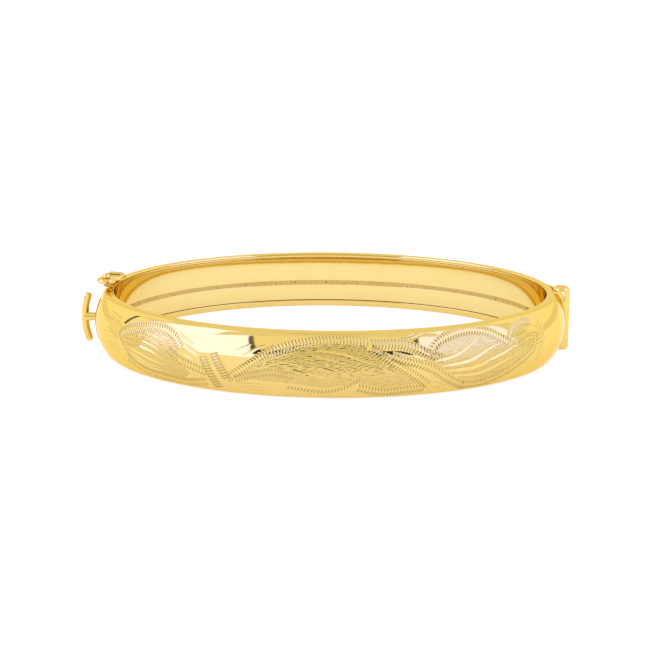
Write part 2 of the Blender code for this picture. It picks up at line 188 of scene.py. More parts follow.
def spread(arcs, first, last):
    """One row of columns per section point: common columns, drawn to each row's own ends."""
    near = np.clip(1 - (arcs - arcs[0]) / END_BLEND, 0.0, 1.0)
    far = np.clip(1 - (arcs[-1] - arcs) / END_BLEND, 0.0, 1.0)
    return arcs + np.outer(first - arcs[0], near) + np.outer(last - arcs[-1], far)


def grid_quads(rows, columns, start, flip=False):
    """Faces of a grid of points, whose first point has the number start."""
    index = start + np.arange(rows * columns).reshape(rows, columns)
    corners = [index[:-1, :-1], index[:-1, 1:], index[1:, 1:], index[1:, :-1]]
    if flip:
        corners.reverse()
    return np.stack(corners, axis=-1).reshape(-1, 4).tolist()


def stitch(first, second, first_at, second_at):
    """Triangles between two lines of vertices, by each vertex's place along its line."""
    faces = []
    i = j = 0
    while i < len(first) - 1 or j < len(second) - 1:
        step_first = j == len(second) - 1 or (i < len(first) - 1 and first_at[i + 1] <= second_at[j + 1])
        if step_first:
            faces.append([first[i], first[i + 1], second[j]])
            i += 1
        else:
            faces.append([first[i], second[j + 1], second[j]])
            j += 1
    return faces


def line_places(line):
    """Place of each point along a line, from zero to one."""
    steps = np.hypot(*np.diff(line, axis=0).T)
    along = np.concatenate(([0.0], np.cumsum(steps)))
    return along / along[-1]


def add_piece(name, points, faces, body, slot, *replaced, sharp=40.0):
    """A shown piece from points in millimetres, riding on a body, in its slot's finish."""
    mesh = bpy.data.meshes.new(name)
    mesh.from_pydata((np.asarray(points, dtype=float) * MM).tolist(), [], faces)
    edit = bmesh.new()
    edit.from_mesh(mesh)
    bmesh.ops.recalc_face_normals(edit, faces=edit.faces)
    edit.to_mesh(mesh)
    edit.free()
    mesh.shade_smooth()
    mesh.set_sharp_from_angle(angle=math.radians(sharp))
    mesh.materials.append(FINISHES[slot])
    piece = bpy.data.objects.new(name, mesh)
    bpy.context.scene.collection.objects.link(piece)
    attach(piece, body)
    if replaced:
        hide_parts(*replaced)
    return piece


def shell_points(line, columns, cut=None, cut_from=0):
    """Points of a swept section; a cut map sinks the dome's rows along their inward normals."""
    depth = np.repeat(line[:, :1], columns.shape[1], axis=1)
    height = np.repeat(line[:, 1:], columns.shape[1], axis=1)
    if cut is not None:
        rows = slice(cut_from, cut_from + len(cut))
        rise = (height[rows] - MIDDLE) / DOME_RADIUS
        depth[rows] += cut * np.sqrt(1 - rise**2)
        height[rows] -= cut * rise
    x, y = ring_xy(columns, depth)
    return np.stack((x, y, height), axis=-1).reshape(-1, 3)


def shell(name, heights, inner_heights, arcs, inner_arcs, ends, body, slot, node, work=None):
    """A hollow half of the band: outer and inner skins stitched along the lips and the ends."""
    cut = work.cut if work else None
    outer, dome_start = outer_line(heights)
    inner = inner_line(inner_heights)
    outer_columns = spread(arcs, *ends(outer))
    inner_columns = spread(inner_arcs, *ends(inner))
    points = np.concatenate(
        (shell_points(outer, outer_columns, cut, dome_start), shell_points(inner, inner_columns))
    )
    rows, columns = outer_columns.shape
    inner_rows, inner_count = inner_columns.shape
    base = rows * columns
    faces = grid_quads(rows, columns, 0) + grid_quads(inner_rows, inner_count, base, flip=True)
    out_index = np.arange(base).reshape(rows, columns)
    in_index = base + np.arange(inner_rows * inner_count).reshape(inner_rows, inner_count)
    for row in (0, -1):
        lips = out_index[row].tolist(), in_index[row].tolist()
        faces += stitch(*lips, outer_columns[row], inner_columns[row])
    for column in (0, -1):
        sides = out_index[:, column].tolist(), in_index[:, column].tolist()
        faces += stitch(*sides, line_places(outer), line_places(inner))
    piece = add_piece(name, points, faces, body, slot, node, sharp=50.0)
    if work:
        # The engraving's painted shade goes onto the mesh as an attribute for the engraved material.
        shade = np.zeros(len(points))
        first = dome_start * columns
        shade[first : first + work.shade.size] = work.shade.ravel()
        piece.data.attributes.new(PAINTED_SHADE_ATTRIBUTE, "FLOAT", "POINT").data.foreach_set("value", shade)


def hinge_gap(line):
    """Distance from the split at which the notch round the hinge barrel ends each row."""
    reach = NOTCH_RADIUS**2 - (line[:, 0] - HINGE_INSET) ** 2
    return gap_arc(line[:, 0], np.sqrt(np.maximum(reach, HALF_SPLIT**2)))


def front_ends(line):
    """Where each row of the front half starts and ends along the crown."""
    first = CLASP_ARC + gap_arc(line[:, 0], HALF_SPLIT)
    return first, HINGE_ARC - hinge_gap(line)


POST_LOW, POST_HIGH = node_box("push_post")
POST_RADIUS = (POST_HIGH.z - POST_LOW.z) / 2
POST_Z = (POST_HIGH.z + POST_LOW.z) / 2
POST_Y = (POST_HIGH.y + POST_LOW.y) / 2
POST_ROOM = POST_RADIUS + 0.15  # half the height of its slot
POST_SLOT_END = POST_Y + 0.05
POST_SLOT_DEPTH = 1.4


def back_ends(line):
    """The back half has its own notch at the clasp, a slot for the push-piece's post."""
    depth, height = line[:, 0], line[:, 1]
    rounded = POST_SLOT_END + np.sqrt(np.maximum(POST_ROOM**2 - (height - POST_Z) ** 2, 0.0))
    slotted = (np.abs(height - POST_Z) < POST_ROOM) & (depth < POST_SLOT_DEPTH)
    distance = np.where(slotted, rounded, HALF_SPLIT)
    return HINGE_ARC + hinge_gap(line), BACK_CLASP_ARC - gap_arc(depth, distance)


def front_columns():
    """Arc lengths of the front's columns, close together where it is engraved."""
    start = np.linspace(CLASP_ARC, ENGRAVED_FROM, round((ENGRAVED_FROM - CLASP_ARC) / COARSE_STEP))
    fine = np.linspace(ENGRAVED_FROM, ENGRAVED_TO, round((ENGRAVED_TO - ENGRAVED_FROM) / FINE_STEP))
    end = np.linspace(ENGRAVED_TO, HINGE_ARC, round((HINGE_ARC - ENGRAVED_TO) / COARSE_STEP))
    return np.concatenate((start[:-1], fine, end[1:]))


# ---------------------------------------------------------------- engraving


CUT_WALL = 0.3  # share of a cut's half width taken by its steep side
EDGE_SHARE = 0.4  # share of a bright cut's half width that gets painted shade and rougher metal
# Most painted shade in a hatched ground
HATCH_SHADE = 0.5


class Engraving:
    """Depth of the cut metal over the front's dome, by arc length and height, and the painted shade in the
    cuts.
    """

    def __init__(self, arcs, heights):
        self.arcs = arcs
        self.heights = heights
        self.cut = np.zeros((len(heights), len(arcs)))
        self.shade = np.zeros_like(self.cut)

    def window(self, low, high):
        rows = slice(*np.searchsorted(self.heights, (low[1], high[1])))
        columns = slice(*np.searchsorted(self.arcs, (low[0], high[0])))
        return rows, columns

    def groove(self, path, width, depth, lean, head, tail, shade=0.3, bright=False):
        """A cut along a path, pointed over its head and tail, with a facet that slopes to the side of
        its lean, 1 or -1. Shade is the painted shade, darker and rougher metal, along the middle of the
        cut. A bright cut takes away what was there before and has painted shade only along its edges."""
        path = np.asarray(path, dtype=float)
        steps = np.hypot(*np.diff(path, axis=0).T)
        along = np.concatenate(([0.0], np.cumsum(steps)))
        total = along[-1]
        half = width / 2
        low = path.min(axis=0) - half
        high = path.max(axis=0) + half
        rows, columns = self.window(low, high)
        s = self.arcs[columns][None, :]
        z = self.heights[rows][:, None]
        if s.size == 0 or z.size == 0:
            return
        near = np.full((z.size, s.size), 1e9)
        side = np.zeros_like(near)
        place = np.zeros_like(near)
        for start, stop, length, done in zip(path, path[1:], steps, along):
            if length < 1e-9:
                continue
            ux, uz = (stop - start) / length
            t = np.clip((s - start[0]) * ux + (z - start[1]) * uz, 0.0, length)
            off_s = s - start[0] - t * ux
            off_z = z - start[1] - t * uz
            distance = np.hypot(off_s, off_z)
            closer = distance < near
            near = np.where(closer, distance, near)
            side = np.where(closer, off_z * ux - off_s * uz, side)
            place = np.where(closer, (done + t) / total, place)
        swell = np.sqrt(np.clip(np.minimum(place / head, (1 - place) / tail), 0.0, 1.0))
        reach = np.maximum(half * swell, 1e-6)
        inside = near < reach
        ratio = np.sign(side) * near / reach
        ramp = (1 + ratio * lean) / 2
        wall = np.clip((1 - ratio * lean) / CUT_WALL, 0.0, 1.0)
        value = np.where(inside, depth * swell * np.minimum(ramp, wall), 0.0)
        # Painted shade: a bright cut is darker only along its edges, any other cut along its middle.
        if bright:
            edge = shade * np.clip((np.abs(ratio) - 1 + EDGE_SHARE) / EDGE_SHARE, 0.0, 1.0)
            self.cut[rows, columns] = np.where(inside, value, self.cut[rows, columns])
            self.shade[rows, columns] = np.where(inside, edge, self.shade[rows, columns])
        else:
            foot = np.where(inside, shade * swell * (1 - np.abs(ratio)), 0.0)
            self.cut[rows, columns] = np.maximum(self.cut[rows, columns], value)
            self.shade[rows, columns] = np.maximum(self.shade[rows, columns], foot)

    def inside(self, outline):
        """Rows, columns and mask of the grid points inside an outline."""
        outline = np.asarray(outline, dtype=float)
        rows, columns = self.window(outline.min(axis=0), outline.max(axis=0))
        s, z = np.meshgrid(self.arcs[columns], self.heights[rows])
        mask = np.zeros(s.shape, dtype=bool)
        for (s1, z1), (s2, z2) in zip(outline, np.roll(outline, -1, axis=0)):
            if z1 == z2:
                continue
            crosses = ((z1 > z) != (z2 > z)) & (s < (s2 - s1) * (z - z1) / (z2 - z1) + s1)
            mask ^= crosses
        return rows, columns, mask

    def hatch(self, outline, direction, pitch, depth, seed):
        """Fine uneven hatching inside an outline, with painted shade along its lines."""
        rows, columns, mask = self.inside(outline)
        s, z = np.meshgrid(self.arcs[columns], self.heights[rows])
        turn = math.radians(direction)
        across = -s * math.sin(turn) + z * math.cos(turn)
        along = s * math.cos(turn) + z * math.sin(turn)
        wander = 0.1 * np.sin(1.7 * along + seed) + 0.04 * np.sin(5.3 * along + 2.1 * across + 2 * seed)
        lines = 0.5 + 0.5 * np.cos(2 * math.pi * (across + wander) / pitch)
        broken = 0.5 + 0.5 * np.sin(4.1 * along + 9.0 * np.sin(1.9 * across + seed))
        value = depth * lines**1.5 * (0.35 + 0.65 * broken)
        patch = self.cut[rows, columns]
        self.cut[rows, columns] = np.where(mask, np.maximum(patch, value), patch)
        # Painted shade of the hatched ground, darkest along the hatch lines.
        painted_hatch_shade = HATCH_SHADE * (0.3 + 0.7 * lines * (0.4 + 0.6 * broken))
        patch = self.shade[rows, columns]
        self.shade[rows, columns] = np.where(mask, np.maximum(patch, painted_hatch_shade), patch)


def smooth_path(points, step=0.12):
    """An even polyline through the given points, rounded as a spline."""
    points = np.asarray(points, dtype=float)
    padded = np.vstack((2 * points[0] - points[1], points, 2 * points[-1] - points[-2]))
    pieces = []
    for a, b, c, d in zip(padded, padded[1:], padded[2:], padded[3:]):
        t = np.linspace(0.0, 1.0, 24, endpoint=False)[:, None]
        pieces.append(
            0.5 * (2 * b + (c - a) * t + (2 * a - 5 * b + 4 * c - d) * t**2 + (3 * b - a - 3 * c + d) * t**3)
        )
    curve = np.vstack(pieces + [points[-1:]])
    length = np.concatenate(([0.0], np.cumsum(np.hypot(*np.diff(curve, axis=0).T))))
    even = np.linspace(0.0, length[-1], max(2, round(length[-1] / step) + 1))
    return np.stack((np.interp(even, length, curve[:, 0]), np.interp(even, length, curve[:, 1])), axis=-1)


TICK_PITCH = 0.4
TICK_LENGTH = 0.62
TICK_WIDTH = 0.24
TICK_DEPTH = 0.075
# Painted shade in the ticks and along the edges of the bright-cut veins
TICK_SHADE = 0.95
TICK_SLANT = 0.45
VEIN_SHADE = 0.7


def wriggle(work, points, rows=2, size=1.0):
    """Rows of slanted ticks along a line, as a rocked graver leaves them."""
    path = smooth_path(points, TICK_PITCH * size)
    heading = np.gradient(path, axis=0)
    heading /= np.hypot(*heading.T)[:, None]
    across = np.stack((-heading[:, 1], heading[:, 0]), axis=-1)
    length = TICK_LENGTH * size
    for row in range(rows):
        lean = 1.0 if row % 2 == 0 else -1.0
        slant = TICK_SLANT * lean
        base = (row - (rows - 1) / 2) * length * 1.06
        for spot, ahead, out in zip(path, heading, across):
            near = spot + out * (base - length / 2) - ahead * slant * length / 2
            far = spot + out * (base + length / 2) + ahead * slant * length / 2
            middle = (near + far) / 2 + ahead * 0.06
            work.groove((near, middle, far), TICK_WIDTH * size, TICK_DEPTH, lean, 0.3, 0.3, TICK_SHADE)


def cut_veins(work, veins, head, tail):
    """Bright cuts, each given as its path, width, depth and lean."""
    for path, width, depth, lean in veins:
        work.groove(smooth_path(path), width, depth, lean, head, tail, VEIN_SHADE, bright=True)


def engrave(work):
    """Three leaves with rocked borders, hatched grounds, bright-cut veins, two bars and sprays."""
    left_leaf(work)
    bars(work)
    centre_leaf(work)
    right_leaf(work)
    sprays(work)


def left_leaf(work):
    """The leaf by the clasp."""
    ground = [(-29.6, 4.6), (-27.6, 5.5), (-25, 6.3), (-22.3, 6.5), (-20.2, 6.0), (-18.9, 4.9), (-19.2, 3.6)]
    ground += [(-17.5, 2.2), (-18.5, 1.3), (-21.8, 1.2), (-25.2, 1.6), (-27.9, 2.7), (-29.2, 4.0)]
    work.hatch(ground, -14.0, 0.27, 0.04, 1.0)
    wriggle(work, [(-29.6, 5.0), (-28.5, 5.8), (-25.5, 6.6), (-22.3, 6.9), (-20.2, 6.4), (-18.8, 5.2)])
    wriggle(work, [(-20.6, 4.6), (-19.0, 3.7), (-17.2, 3.1), (-15.4, 2.6)])
    wriggle(work, [(-28.2, 2.2), (-25.4, 1.2), (-21.8, 0.85), (-18.5, 0.75), (-15.6, 1.2)])
    wriggle(work, [(-30.0, 5.1), (-29.2, 4.1), (-28.1, 3.0)], rows=1, size=0.8)
    veins = [
        ([(-29.2, 4.5), (-26.6, 4.4), (-23.6, 4.0), (-21.2, 3.2)], 0.62, 0.17, 1.0),
        ([(-28.8, 3.9), (-26.2, 3.4), (-23.6, 2.9), (-21.0, 2.5)], 0.6, 0.16, 1.0),
        ([(-28.2, 3.3), (-26.2, 2.7), (-24.0, 2.2), (-21.6, 2.0)], 0.5, 0.14, 1.0),
        ([(-27.4, 2.6), (-25.2, 2.0), (-23.0, 1.7), (-20.4, 1.8)], 0.42, 0.12, 1.0),
        ([(-28.2, 5.0), (-26.0, 5.1), (-23.6, 4.8), (-21.4, 4.2)], 0.45, 0.11, 1.0),
        ([(-26.4, 5.7), (-24.4, 5.6), (-22.2, 5.1), (-20.6, 4.5)], 0.32, 0.08, -1.0),
        ([(-25.0, 6.1), (-23.2, 6.0), (-21.4, 5.5)], 0.28, 0.06, 1.0),
    ]
    cut_veins(work, veins, 0.2, 0.7)


BAR_RAIL = 0.36  # from a bar's middle line to each of its rails
BAR_PITCH = 0.36
BAR_HALF = 0.62  # half the length of a rung
RUNG_DROP = 0.12


def bars(work):
    """Two slanting bars beside the left leaf, like short ladders."""
    for top, foot in (((-15.6, 4.45), (-13.9, 0.75)), ((-14.2, 5.0), (-12.5, 2.1))):
        top, foot = np.array(top), np.array(foot)
        length = np.hypot(*(foot - top))
        along = (foot - top) / length
        across = np.array((-along[1], along[0]))
        for offset in (-BAR_RAIL, BAR_RAIL):
            work.groove((top + across * offset, foot + across * offset), 0.22, 0.07, 1.0, 0.05, 0.05, 0.6)
        rung = across * BAR_HALF + along * RUNG_DROP
        for step in np.arange(0.1, length, BAR_PITCH):
            spot = top + along * step
            work.groove((spot - rung, spot + rung), TICK_WIDTH, TICK_DEPTH, 1.0, 0.1, 0.1, TICK_SHADE)


def centre_leaf(work):
    """The long leaf in the middle."""
    ground = [(-11.6, 2.3), (-9.2, 3.7), (-6.9, 5.2), (-3.5, 6.2), (0.3, 6.8), (3.9, 6.6), (5.2, 5.2)]
    ground += [(7.4, 4.0), (10.0, 2.3), (10.9, 1.8), (6.2, 1.5), (3.4, 2.2), (1.7, 1.9), (-0.8, 1.5)]
    ground += [(-4.8, 2.1), (-8.5, 2.2)]
    work.hatch(ground, 8.0, 0.26, 0.05, 2.3)
    wriggle(work, [(-12.4, 2.1), (-9.4, 4.2), (-6.9, 5.7), (-3.5, 6.7), (0.3, 7.2), (4.3, 7.0)])
    wriggle(work, [(4.9, 6.0), (7.6, 4.5), (10.4, 2.6), (11.8, 1.5)])
    wriggle(work, [(-11.4, 2.2), (-9.0, 2.9), (-6.8, 3.3), (-4.4, 3.0)], size=0.9)
    wriggle(work, [(-5.0, 1.5), (-0.8, 1.0), (1.7, 1.6), (3.4, 2.6)], rows=1)
    wriggle(work, [(3.4, 1.5), (6.2, 0.85), (8.7, 1.0), (11.3, 1.1)])
    veins = [
        ([(-2.1, 6.1), (1.7, 5.6), (6.0, 3.9), (8.4, 2.7)], 0.34, 0.12, 1.0),
        ([(-2.4, 5.5), (1.0, 4.7), (5.3, 3.1)], 0.3, 0.11, 1.0),
        ([(-3.6, 4.9), (-1.0, 4.2), (2.4, 3.1)], 0.28, 0.1, 1.0),
        ([(-5.0, 4.0), (-2.4, 3.3), (0.6, 2.5)], 0.28, 0.1, 1.0),
        ([(-9.5, 3.4), (-6.5, 4.3), (-3.6, 5.0)], 0.22, 0.06, -1.0),
        ([(-7.8, 4.6), (-4.8, 5.6), (-2.4, 6.1)], 0.22, 0.06, -1.0),
    ]
    cut_veins(work, veins, 0.15, 0.5)


def right_leaf(work):
    """The leaf towards the hinge, with its small side leaf."""
    ground = [(11.0, 4.6), (13.0, 5.8), (15.0, 6.8), (17.6, 7.1), (20.4, 6.6), (23.0, 5.3), (26.0, 5.4)]
    ground += [(28.2, 5.0), (27.2, 3.9), (25.2, 2.9), (22.3, 1.9), (19.7, 1.2), (17.0, 1.5), (14.8, 2.6)]
    ground += [(12.2, 4.1)]
    work.hatch(ground, 12.0, 0.3, 0.03, 4.0)
    wriggle(work, [(11.8, 5.3), (12.9, 6.4), (14.9, 7.2), (17.6, 7.5), (20.4, 7.0), (23.2, 5.5)])
    wriggle(work, [(4.9, 6.7), (8.6, 6.5), (11.8, 5.3), (13.6, 4.6)])
    wriggle(work, [(7.4, 5.3), (11.7, 3.8), (14.5, 2.0), (16.7, 0.9)])
    wriggle(work, [(16.7, 0.9), (19.7, 0.75), (22.5, 1.4), (25.6, 2.6), (28.0, 3.8), (28.9, 5.6)])
    wriggle(work, [(23.4, 5.7), (24.6, 6.8), (26.4, 7.3), (28.3, 7.1)], size=0.8)
    veins = [
        ([(12.6, 4.4), (15.4, 4.9), (18.0, 6.2), (18.6, 6.9)], 0.5, 0.1, 1.0),
        ([(13.2, 3.7), (17.0, 4.0), (20.4, 5.2), (22.4, 5.6)], 0.62, 0.13, 1.0),
        ([(13.8, 3.1), (18.0, 3.1), (22.0, 4.2), (25.0, 4.9)], 0.62, 0.16, 1.0),
        ([(14.6, 2.5), (18.6, 2.2), (22.6, 3.2), (26.0, 4.2)], 0.5, 0.14, 1.0),
        ([(15.8, 1.9), (19.6, 1.6), (23.2, 2.6), (26.4, 3.8)], 0.36, 0.1, -1.0),
        ([(23.8, 5.9), (25.8, 6.3), (28.1, 6.7)], 0.45, 0.08, 1.0),
        ([(23.6, 5.3), (26.0, 5.6), (28.4, 6.1)], 0.45, 0.08, 1.0),
        ([(23.4, 4.8), (25.8, 4.9), (28.4, 5.4)], 0.4, 0.07, 1.0),
    ]
    cut_veins(work, veins, 0.2, 0.5)


def sprays(work):
    """Loose strokes beside the leaves and at both ends of the ornament."""
    strokes = [
        ([(-19.8, 6.9), (-16.8, 5.6)], 0.5, 0.09),
        ([(-18.6, 5.7), (-16.0, 4.5)], 0.5, 0.09),
        ([(-18.2, 4.5), (-16.2, 3.6)], 0.42, 0.08),
        ([(-11.8, 5.4), (-9.5, 6.4)], 0.16, 0.05),
        ([(-10.5, 5.0), (-7.8, 6.5)], 0.2, 0.06),
        ([(-6.9, 6.1), (-6.5, 6.9)], 0.16, 0.05),
        ([(-12.2, 1.5), (-9.4, 1.7), (-6.2, 1.6)], 0.2, 0.05),
        ([(-11.8, 1.1), (-9.0, 1.3), (-6.4, 1.1)], 0.16, 0.05),
        ([(-11.2, 0.8), (-9.2, 0.9), (-7.4, 0.7)], 0.16, 0.05),
        ([(7.7, 7.1), (9.4, 7.3), (11.0, 7.8)], 0.24, 0.05),
        ([(8.6, 6.9), (10.3, 7.2), (11.9, 7.7)], 0.2, 0.05),
        ([(12.0, 1.9), (13.6, 1.5), (14.8, 0.4)], 0.24, 0.06),
        ([(12.3, 1.3), (13.3, 1.0), (14.0, 0.4)], 0.2, 0.05),
    ]
    for path, width, depth in strokes:
        work.groove(smooth_path(path), width, depth, 1.0, 0.3, 0.4)
    for step in range(9):
        z = 2.2 + 0.52 * step
        reach = 2.6 - 0.16 * abs(step - 4)
        start = (28.7 + 0.15 * math.sin(2.1 * step), z)
        tip = (28.7 + reach, z + 0.12 * (step - 4) + 0.7)
        work.groove(bowed(start, tip, z + 0.1), 0.34, 0.07, 1.0, 0.3, 0.6)
    for step in range(12):
        z = 6.6 - 0.36 * step
        start = (-29.6 - 0.2 * math.sin(1.7 * step), z)
        tip = (-32.0 - 3.5 * abs(math.sin(1.3 * step + 0.6)), z + 0.5 - 0.08 * step)
        work.groove(bowed(start, tip, z + 0.35), 0.26, 0.06, -1.0, 0.25, 0.6)


def bowed(start, tip, height):
    """A stroke from a start to a tip whose middle lies at the given height."""
    return smooth_path([start, ((start[0] + tip[0]) / 2, height), tip])


# ---------------------------------------------------------------- materials


def new_material(name):
    """A material with its node tree and shader."""
    material = bpy.data.materials.new(name)
    material.use_nodes = True
    tree = material.node_tree
    return material, tree, tree.nodes["Principled BSDF"]


def math_node(tree, operation, first, second=0.0):
    """Output of a math node on two values or sockets."""
    node = tree.nodes.new("ShaderNodeMath")
    node.operation = operation
    for socket, value in zip(node.inputs, (first, second)):
        if isinstance(value, (int, float)):
            socket.default_value = value
        else:
            tree.links.new(value, socket)
    return node.outputs[0]


def object_noise(tree, scale, detail=3.0, stretch=(1.0, 1.0, 1.0)):
    """Noise that stays with the surface."""
    place = tree.nodes.new("ShaderNodeTexCoord")
    mapping = tree.nodes.new("ShaderNodeMapping")
    mapping.inputs["Scale"].default_value = stretch
    noise = tree.nodes.new("ShaderNodeTexNoise")
    noise.inputs["Scale"].default_value = scale
    noise.inputs["Detail"].default_value = detail
    tree.links.new(place.outputs["Object"], mapping.inputs["Vector"])
    tree.links.new(mapping.outputs["Vector"], noise.inputs["Vector"])
    return noise.outputs["Fac"]


PAINTED_SHADE_ATTRIBUTE = "cut_painted_shade_and_roughness"  # the mesh's record of the painted shade in the cuts, which also makes the metal rougher there
CUT_ROUGHNESS = 0.25
REFLECTANCE = 0.79
GRAZING_TONE = (1.0, 0.86, 0.5)
GOLD_TONE = (1.0 * REFLECTANCE, 0.73 * REFLECTANCE, 0.215 * REFLECTANCE)
DEEP_TONE = (0.97 * REFLECTANCE, 0.69 * REFLECTANCE, 0.19 * REFLECTANCE)
# Painted highlight: the linings are a paler gold to stand in for the brighter reflections on them
LINING_HIGHLIGHT_TONE = (1.02 * REFLECTANCE, 0.79 * REFLECTANCE, 0.3 * REFLECTANCE)
# Painted shade: the colour that the engraved metal darkens to in its cuts
CUT_PAINTED_SHADE_TONE = (0.4 * REFLECTANCE, 0.27 * REFLECTANCE, 0.07 * REFLECTANCE)
SOLDER_TONE = (0.62, 0.43, 0.13)
SOLDER_DEEP_TONE = (0.5, 0.33, 0.09)


def tone_mix(tree, amount, first, second):
    """A colour that goes from the first to the second with the amount."""
    mix = tree.nodes.new("ShaderNodeMix")
    mix.data_type = "RGBA"
    tree.links.new(amount, mix.inputs["Factor"])
    for socket, colour in ((mix.inputs["A"], first), (mix.inputs["B"], second)):
        if isinstance(colour, tuple):
            socket.default_value = (*colour, 1.0)
        else:
            tree.links.new(colour, socket)
    return mix.outputs["Result"]


def gold(name, colour, worn_colour, roughness, wear, grain, bump=0.02, cut_shade_colour=None):
    """Polished or satin gold with uneven tone, fine scratches and faint ripples in the surface.
    With a cut shade colour, painted shade darkens the cuts the mesh marks; they are rougher too."""
    material, tree, shader = new_material(name)
    shader.inputs["Metallic"].default_value = 1.0
    shader.inputs["Specular Tint"].default_value = (*GRAZING_TONE, 1.0)
    tone = tone_mix(tree, object_noise(tree, 180.0, 4.0), colour, worn_colour)
    scratches = object_noise(tree, 900.0, 5.0, stretch=(1.0, 1.0, 14.0))
    crossed = object_noise(tree, 1400.0, 4.0, stretch=(6.0, 1.0, 1.0))
    marks = math_node(tree, "POWER", math_node(tree, "MULTIPLY", scratches, crossed), 2.0)
    rough = math_node(tree, "MULTIPLY_ADD", marks, wear)
    rough.node.inputs[2].default_value = roughness
    if cut_shade_colour:
        # Painted shade: the attribute darkens the base colour in the cuts, and also roughens them.
        cuts = tree.nodes.new("ShaderNodeAttribute")
        cuts.attribute_name = PAINTED_SHADE_ATTRIBUTE
        tone = tone_mix(tree, cuts.outputs["Fac"], tone, cut_shade_colour)
        dulled = math_node(tree, "MULTIPLY", cuts.outputs["Fac"], CUT_ROUGHNESS)
        rough = math_node(tree, "ADD", rough, dulled)
    tree.links.new(tone, shader.inputs["Base Color"])
    tree.links.new(rough, shader.inputs["Roughness"])
    relief = tree.nodes.new("ShaderNodeBump")
    relief.inputs["Strength"].default_value = bump
    relief.inputs["Distance"].default_value = 0.0002
    tree.links.new(object_noise(tree, grain), relief.inputs["Height"])
    tree.links.new(relief.outputs["Normal"], shader.inputs["Normal"])
    return material


# Finish of each material slot: its colours, roughness, wear and the grain of its ripples
FINISHES = {
    "polished_gold": gold("polished gold", GOLD_TONE, DEEP_TONE, 0.03, 0.1, 300.0),
    "engraved_gold": gold("engraved gold with painted cut shade", GOLD_TONE, DEEP_TONE, 0.04, 0.12, 300.0, cut_shade_colour=CUT_PAINTED_SHADE_TONE),
    "lining_gold": gold("lining gold with painted highlight", LINING_HIGHLIGHT_TONE, GOLD_TONE, 0.035, 0.12, 260.0, bump=0.03),
    "seam_solder": gold("seam solder", SOLDER_TONE, SOLDER_DEEP_TONE, 0.18, 0.3, 1500.0, bump=0.25),
    "spring_gold": gold("spring gold", GOLD_TONE, DEEP_TONE, 0.12, 0.3, 700.0, bump=0.05),
    "pin_gold": gold("pin gold", GOLD_TONE, DEEP_TONE, 0.08, 0.2, 500.0),
}


# ---------------------------------------------------------------- pieces


def make_shells():
    """The engraved front half and the plain back half."""
    half_turn = math.asin((MIDDLE - EDGE_HEIGHT) / DOME_RADIUS)
    turns = np.linspace(-1.0, 1.0, round(DOME_LENGTH / FINE_STEP)) * half_turn
    heights = MIDDLE + DOME_RADIUS * np.sin(turns)
    arcs = front_columns()
    work = Engraving(arcs, heights)
    engrave(work)
    inner_heights = np.linspace(INNER_MARGIN, HEIGHT - INNER_MARGIN, INNER_ROWS)
    inner_arcs = np.linspace(CLASP_ARC, HINGE_ARC, INNER_COLUMNS)
    shell(
        "front_engraved_shell", heights, inner_heights, arcs, inner_arcs, front_ends,
        "front_half", "engraved_gold", "front_shell", work,
    )
    below, above = POST_Z - POST_ROOM, POST_Z + POST_ROOM
    heights = np.concatenate((
        np.linspace(EDGE_HEIGHT, below - SLOT_EDGE, BACK_ROWS),
        np.linspace(below + SLOT_EDGE, above - SLOT_EDGE, SLOT_ROWS),
        np.linspace(above + SLOT_EDGE, HEIGHT - EDGE_HEIGHT, BACK_ROWS),
    ))
    arcs = np.linspace(HINGE_ARC, BACK_CLASP_ARC, BACK_COLUMNS)
    inner_arcs = np.linspace(HINGE_ARC, BACK_CLASP_ARC, BACK_COLUMNS // 2)
    shell(
        "back_smooth_shell", heights, heights, arcs, inner_arcs, back_ends,
        "back_half", "polished_gold", "back_shell",
    )


def swept_strip(name, section, first, last, steps, body, slot, node, uneven=None):
    """A closed section carried along the band, with flat ends; uneven may move its points a little."""
    arcs = np.linspace(first, last, steps)
    section = np.asarray(section, dtype=float)
    depth = np.repeat(section[:, :1], steps, axis=1)
    height = np.repeat(section[:, 1:], steps, axis=1)
    if uneven:
        depth, height = uneven(depth, height, arcs)
    x, y = ring_xy(np.broadcast_to(arcs, depth.shape), depth)
    points = np.stack((x, y, height), axis=-1).reshape(-1, 3)
    rows = len(section)
    faces = grid_quads(rows, steps, 0)
    index = np.arange(rows * steps).reshape(rows, steps)
    faces += np.stack((index[-1, :-1], index[-1, 1:], index[0, 1:], index[0, :-1]), axis=-1).tolist()
    faces += [index[:, 0].tolist(), index[::-1, -1].tolist()]
    add_piece(name, points, faces, body, slot, node)


def rounded_box(back, face, low, high, radius):
    """Strip section whose two edges on the face are rounded."""
    section = [(back, low), (back, high)]
    section += list(bend((face - radius, high), (face, high), (face, high - radius)))
    section += list(bend((face, low + radius), (face, low), (face - radius, low)))
    return section


